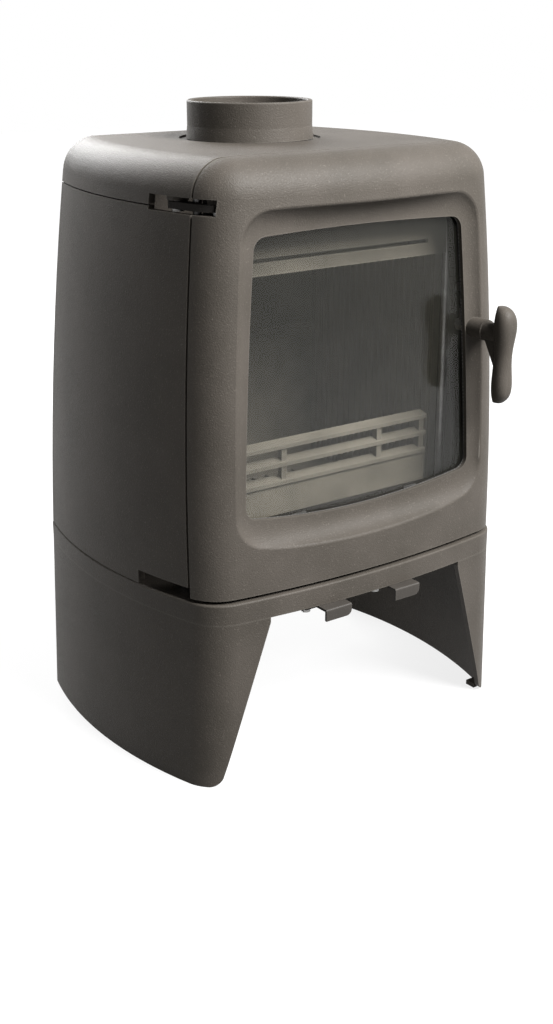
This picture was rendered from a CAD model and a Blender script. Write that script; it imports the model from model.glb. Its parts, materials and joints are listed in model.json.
import bpy
import json
import math
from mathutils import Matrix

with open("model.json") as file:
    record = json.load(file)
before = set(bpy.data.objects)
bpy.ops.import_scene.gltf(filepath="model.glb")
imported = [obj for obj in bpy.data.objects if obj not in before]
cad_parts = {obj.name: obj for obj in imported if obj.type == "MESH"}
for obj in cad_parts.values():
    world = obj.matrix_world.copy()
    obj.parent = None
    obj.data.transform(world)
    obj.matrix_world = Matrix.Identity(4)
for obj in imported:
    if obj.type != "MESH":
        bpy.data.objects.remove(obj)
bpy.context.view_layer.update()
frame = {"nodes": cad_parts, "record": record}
nodes = frame["nodes"]
print("frame loaded:", len(nodes), "nodes")


def newFinish(name):
    finish = bpy.data.materials.new(name)
    finish.use_nodes = True
    tree = finish.node_tree
    shader = tree.nodes["Principled BSDF"]
    return finish, tree, shader


def addNode(tree, kind, **values):
    node = tree.nodes.new(kind)
    for key, value in values.items():
        if hasattr(node, key):
            setattr(node, key, value)
        else:
            node.inputs[key].default_value = value
    return node


def noiseMap(tree, coords, scale, detail, rough):
    noise = addNode(tree, "ShaderNodeTexNoise", Scale=scale, Detail=detail, Roughness=rough)
    tree.links.new(coords.outputs["Object"], noise.inputs["Vector"])
    return noise.outputs["Fac"]


# map a value from one span to another, clamped
def remap(tree, value, lowIn, highIn, lowOut, highOut):
    node = addNode(tree, "ShaderNodeMapRange", clamp=True)
    for index, number in enumerate((lowIn, highIn, lowOut, highOut), 1):
        node.inputs[index].default_value = number
    tree.links.new(value, node.inputs[0])
    return node.outputs[0]


def mixColour(tree, factor, first, second):
    mix = addNode(tree, "ShaderNodeMix", data_type="RGBA")
    tree.links.new(factor, mix.inputs[0])
    for socket, colour in ((mix.inputs[6], first), (mix.inputs[7], second)):
        if isinstance(colour, tuple):
            socket.default_value = (*colour, 1.0)
        else:
            tree.links.new(colour, socket)
    return mix.outputs[2]


# for the cast finishes: detail and roughness of each noise, then the spans of noise and of edge turn in use
castGrain = {
    "grain": (2.0, 0.6), "cloud": (3.0, 0.55), "speck": (1.0, 0.5),
    "grainSpan": (0.25, 0.75), "cloudSpan": (0.3, 0.7), "speckSpan": (0.62, 0.75),
    "wearSpan": (0.99, 0.8), "wearSamples": 4,
}


# 1 where the surface turns sharply near a point and 0 where it is flat, from rounded normals
def edgeMask(tree, radius):
    bevel = addNode(tree, "ShaderNodeBevel", samples=castGrain["wearSamples"], Radius=radius)
    geometry = addNode(tree, "ShaderNodeNewGeometry")
    dot = addNode(tree, "ShaderNodeVectorMath", operation="DOT_PRODUCT")
    tree.links.new(bevel.outputs[0], dot.inputs[0])
    tree.links.new(geometry.outputs["Normal"], dot.inputs[1])
    return remap(tree, dot.outputs["Value"], *castGrain["wearSpan"], 0.0, 1.0)


# sand-cast iron under paint: fine grain, soft blotches, paler rubbed edges
def castFinish(name, look):
    finish, tree, shader = newFinish(name)
    coords = addNode(tree, "ShaderNodeTexCoord")
    grain = noiseMap(tree, coords, look["grainScale"], *castGrain["grain"])
    cloud = noiseMap(tree, coords, look["cloudScale"], *castGrain["cloud"])
    speck = noiseMap(tree, coords, look["speckScale"], *castGrain["speck"])
    blotches = remap(tree, cloud, *castGrain["cloudSpan"], 0.0, 1.0)
    body = mixColour(tree, blotches, look["dark"], look["pale"])
    specks = remap(tree, speck, *castGrain["speckSpan"], 0.0, look["speckAmount"])
    body = mixColour(tree, specks, body, look["speckColour"])
    wear = remap(tree, edgeMask(tree, look["edgeRadius"]), 0.0, 1.0, 0.0, look["edgeAmount"])
    body = mixColour(tree, wear, body, look["edgeColour"])
    tree.links.new(body, shader.inputs["Base Color"])
    sheen = remap(tree, grain, *castGrain["grainSpan"], *look["roughness"])
    tree.links.new(sheen, shader.inputs["Roughness"])
    shader.inputs["Metallic"].default_value = look["metallic"]
    shader.inputs["Specular IOR Level"].default_value = look["specular"]
    bump = addNode(tree, "ShaderNodeBump", Strength=look["bumpStrength"], Distance=look["bumpDepth"])
    tree.links.new(grain, bump.inputs["Height"])
    wave = addNode(tree, "ShaderNodeBump", Strength=look["waveStrength"], Distance=look["waveDepth"])
    tree.links.new(cloud, wave.inputs["Height"])
    tree.links.new(wave.outputs[0], bump.inputs["Normal"])
    tree.links.new(bump.outputs[0], shader.inputs["Normal"])
    return finish


castPaintLook = {
    "dark": (0.042, 0.037, 0.031), "pale": (0.056, 0.049, 0.042),
    "speckColour": (0.090, 0.080, 0.069), "speckAmount": 0.6, "speckScale": 650.0,
    "edgeColour": (0.10, 0.092, 0.080), "edgeAmount": 0.5, "edgeRadius": 0.002,
    "grainScale": 760.0, "cloudScale": 14.0,
    "roughness": (0.4, 0.58), "metallic": 0.0, "specular": 0.1,
    "bumpStrength": 0.45, "bumpDepth": 0.0009, "waveStrength": 0.15, "waveDepth": 0.0015,
}
innerIronLook = {
    "dark": (0.10, 0.089, 0.068), "pale": (0.165, 0.148, 0.115),
    "speckColour": (0.24, 0.22, 0.175), "speckAmount": 0.4, "speckScale": 420.0,
    "edgeColour": (0.28, 0.255, 0.205), "edgeAmount": 0.5, "edgeRadius": 0.002,
    "grainScale": 800.0, "cloudScale": 22.0,
    "roughness": (0.6, 0.8), "metallic": 0.0, "specular": 0.3,
    "bumpStrength": 0.15, "bumpDepth": 0.0005, "waveStrength": 0.2, "waveDepth": 0.002,
}
sheetPaintLook = {
    "dark": (0.028, 0.025, 0.022), "pale": (0.038, 0.034, 0.030),
    "speckColour": (0.09, 0.082, 0.074), "speckAmount": 0.3, "speckScale": 900.0,
    "edgeColour": (0.08, 0.074, 0.067), "edgeAmount": 0.7, "edgeRadius": 0.0008,
    "grainScale": 1500.0, "cloudScale": 30.0,
    "roughness": (0.4, 0.5), "metallic": 0.0, "specular": 0.15,
    "bumpStrength": 0.12, "bumpDepth": 0.0003, "waveStrength": 0.05, "waveDepth": 0.0005,
}
dullSteelLook = {
    "dark": (0.22, 0.22, 0.22), "pale": (0.34, 0.335, 0.325),
    "speckColour": (0.12, 0.10, 0.085), "speckAmount": 0.5, "speckScale": 600.0,
    "edgeColour": (0.5, 0.49, 0.48), "edgeAmount": 0.6, "edgeRadius": 0.0006,
    "grainScale": 1300.0, "cloudScale": 60.0,
    "roughness": (0.35, 0.55), "metallic": 0.9, "specular": 0.5,
    "bumpStrength": 0.15, "bumpDepth": 0.0002, "waveStrength": 0.05, "waveDepth": 0.0003,
}


# woven glass-fibre seal: a diagonal weave over a fuzzy grey yarn
def ropeFinish(name, look):
    finish, tree, shader = newFinish(name)
    coords = addNode(tree, "ShaderNodeTexCoord")
    heights = []
    for turn in look["weaveTurns"]:
        mapping = addNode(tree, "ShaderNodeMapping")
        mapping.inputs["Rotation"].default_value = (0.0, turn, 0.0)
        tree.links.new(coords.outputs["Object"], mapping.inputs["Vector"])
        wave = addNode(tree, "ShaderNodeTexWave", Scale=look["weaveScale"], Distortion=look["weaveWobble"])
        tree.links.new(mapping.outputs[0], wave.inputs["Vector"])
        heights.append(wave.outputs["Fac"])
    weave = addNode(tree, "ShaderNodeMath", operation="MULTIPLY")
    tree.links.new(heights[0], weave.inputs[0])
    tree.links.new(heights[1], weave.inputs[1])
    fuzz = noiseMap(tree, coords, look["fuzzScale"], *look["fuzz"])
    body = mixColour(tree, weave.outputs[0], look["dark"], look["pale"])
    tree.links.new(body, shader.inputs["Base Color"])
    tree.links.new(remap(tree, fuzz, *look["fuzzSpan"], *look["roughness"]), shader.inputs["Roughness"])
    bump = addNode(tree, "ShaderNodeBump", Strength=look["bumpStrength"], Distance=look["bumpDepth"])
    tree.links.new(weave.outputs[0], bump.inputs["Height"])
    tree.links.new(bump.outputs[0], shader.inputs["Normal"])
    return finish


ropeLook = {
    "dark": (0.035, 0.034, 0.033), "pale": (0.13, 0.127, 0.12),
    "weaveTurns": (0.8, -0.8), "weaveScale": 120.0, "weaveWobble": 1.0,
    "fuzzScale": 900.0, "fuzz": (2.0, 0.6), "fuzzSpan": (0.3, 0.7),
    "roughness": (0.8, 0.98), "bumpStrength": 0.7, "bumpDepth": 0.0012,
}


# clear ceramic pane with faint smears, which mirrors the studio
def glassFinish(name, look):
    finish, tree, shader = newFinish(name)
    coords = addNode(tree, "ShaderNodeTexCoord")
    smear = noiseMap(tree, coords, look["smearScale"], *look["smear"])
    body = mixColour(tree, smear, look["dark"], look["pale"])
    tree.links.new(body, shader.inputs["Base Color"])
    tree.links.new(remap(tree, smear, *look["smearSpan"], *look["roughness"]), shader.inputs["Roughness"])
    shader.inputs["Alpha"].default_value = look["alpha"]
    shader.inputs["IOR"].default_value = look["ior"]
    return finish


glassLook = {
    "dark": (0.02, 0.02, 0.017), "pale": (0.03, 0.029, 0.024),
    "smearScale": 14.0, "smear": (3.0, 0.6), "smearSpan": (0.35, 0.7),
    "roughness": (0.0, 0.02), "alpha": 0.2, "ior": 1.75,
}

finishes = {
    "cast_paint": castFinish("castPaint", castPaintLook),
    "inner_iron": castFinish("innerIron", innerIronLook),
    "sheet_paint": castFinish("sheetPaint", sheetPaintLook),
    "steel": castFinish("dullSteel", dullSteelLook),
    "rope": ropeFinish("sealRope", ropeLook),
    "glass": glassFinish("paneGlass", glassLook),
}
# pieces in the dark of the door seam, which stay flat black
innerBlackLook = {
    **castPaintLook, "dark": (0.012, 0.011, 0.010), "pale": (0.018, 0.016, 0.014),
    "speckAmount": 0.1, "edgeAmount": 0.1, "roughness": (0.6, 0.75), "specular": 0.08, "bumpStrength": 0.12,
}
seamFinish = castFinish("innerBlack", innerBlackLook)
seamPieces = ("front_frame", "upper_hinge_arm", "lower_hinge_arm", "latch_keeper")
smoothAngle = math.radians(32.0)
bpy.ops.object.select_all(action="DESELECT")
for row in frame["record"]["subparts"]:
    node = nodes[row["node"]]
    node.data.materials.clear()
    finish = seamFinish if row["node"] in seamPieces else finishes[row["material_slot"]]
    node.data.materials.append(finish)
    node.select_set(True)
    bpy.context.view_layer.objects.active = node
    bpy.ops.object.shade_smooth_by_angle(angle=smoothAngle)
    node.select_set(False)

# pale studio: what the camera, mirrors and panes see is white, what lights the stove is softer
# each lamp has a name, a place, an aim, a side in metres and a power in watts
studio = {
    "floorSize": 14.0, "floorColour": (0.15, 0.15, 0.15), "floorRoughness": 0.9, "floorSpecular": 0.1,
    "floorGlow": (0.8, 1.0), "glowReach": (0.4, 1.4),
    "white": (1.0, 1.0, 1.0, 1.0), "worldLight": 0.09,
    "lamps": (
        ("frontBox", (0.55, -1.4, 1.85), (0.0, -0.1, 0.6), 1.2, 195.0),
        ("rearBox", (-0.05, 2.0, 1.65), (-0.05, 0.05, 0.55), 1.5, 105.0),
        ("leftRim", (-1.9, 1.6, 0.9), (-0.2, 0.1, 0.3), 1.0, 2.0),
    ),
}
cameraSpot = {
    "place": (-0.8136, -1.10255, 0.7094), "pitch": 19.973, "azimuth": -35.926, "lens": 48.351, "sensor": 36.0,
    "farthest": 50.0,
}


# 1 for rays from the camera, off a polished surface or through a pane, otherwise 0
def seenRay(tree):
    rays = addNode(tree, "ShaderNodeLightPath")
    seen = rays.outputs["Is Camera Ray"]
    for kind in ("Is Glossy Ray", "Is Transmission Ray"):
        either = addNode(tree, "ShaderNodeMath", operation="MAXIMUM")
        tree.links.new(seen, either.inputs[0])
        tree.links.new(rays.outputs[kind], either.inputs[1])
        seen = either.outputs[0]
    return seen


bpy.ops.mesh.primitive_plane_add(size=studio["floorSize"])
floor = bpy.context.object
floor.name = "studioFloor"
floorFinish, floorTree, floorShader = newFinish("paleFloor")
floorShader.inputs["Base Color"].default_value = (*studio["floorColour"], 1.0)
floorShader.inputs["Roughness"].default_value = studio["floorRoughness"]
floorShader.inputs["Specular IOR Level"].default_value = studio["floorSpecular"]
floorShader.inputs["Emission Color"].default_value = studio["white"]
floorCoords = addNode(floorTree, "ShaderNodeTexCoord")
outward = addNode(floorTree, "ShaderNodeVectorMath", operation="LENGTH")
floorTree.links.new(floorCoords.outputs["Object"], outward.inputs[0])
glow = addNode(floorTree, "ShaderNodeMath", operation="MULTIPLY")
floorTree.links.new(seenRay(floorTree), glow.inputs[0])
whitening = remap(floorTree, outward.outputs["Value"], *studio["glowReach"], *studio["floorGlow"])
floorTree.links.new(whitening, glow.inputs[1])
floorTree.links.new(glow.outputs[0], floorShader.inputs["Emission Strength"])
floor.data.materials.append(floorFinish)

scene = bpy.context.scene
world = bpy.data.worlds.new("softStudio")
scene.world = world
world.use_nodes = True
worldTree = world.node_tree
background = worldTree.nodes["Background"]
background.inputs["Color"].default_value = studio["white"]
worldLight = remap(worldTree, seenRay(worldTree), 0.0, 1.0, studio["worldLight"], 1.0)
worldTree.links.new(worldLight, background.inputs["Strength"])

for name, place, aim, side, power in studio["lamps"]:
    lamp = bpy.data.lights.new(name, "AREA")
    lamp.shape = "SQUARE"
    lamp.size = side
    lamp.energy = power
    lampObject = bpy.data.objects.new(name, lamp)
    scene.collection.objects.link(lampObject)
    lampObject.location = place
    reach = [end - start for start, end in zip(place, aim)]
    flat = math.hypot(reach[0], reach[1])
    lampObject.rotation_euler = (math.atan2(flat, -reach[2]), 0.0, math.atan2(-reach[0], reach[1]))

cameraData = bpy.data.cameras.new("photoCamera")
cameraData.sensor_width = cameraSpot["sensor"]
cameraData.lens = cameraSpot["lens"]
cameraData.clip_end = cameraSpot["farthest"]
camera = bpy.data.objects.new("photoCamera", cameraData)
scene.collection.objects.link(camera)
camera.location = cameraSpot["place"]
camera.rotation_euler = (math.radians(90.0 - cameraSpot["pitch"]), 0.0, math.radians(cameraSpot["azimuth"]))
scene.camera = camera
scene.view_settings.view_transform = "Standard"
print("studio ready")
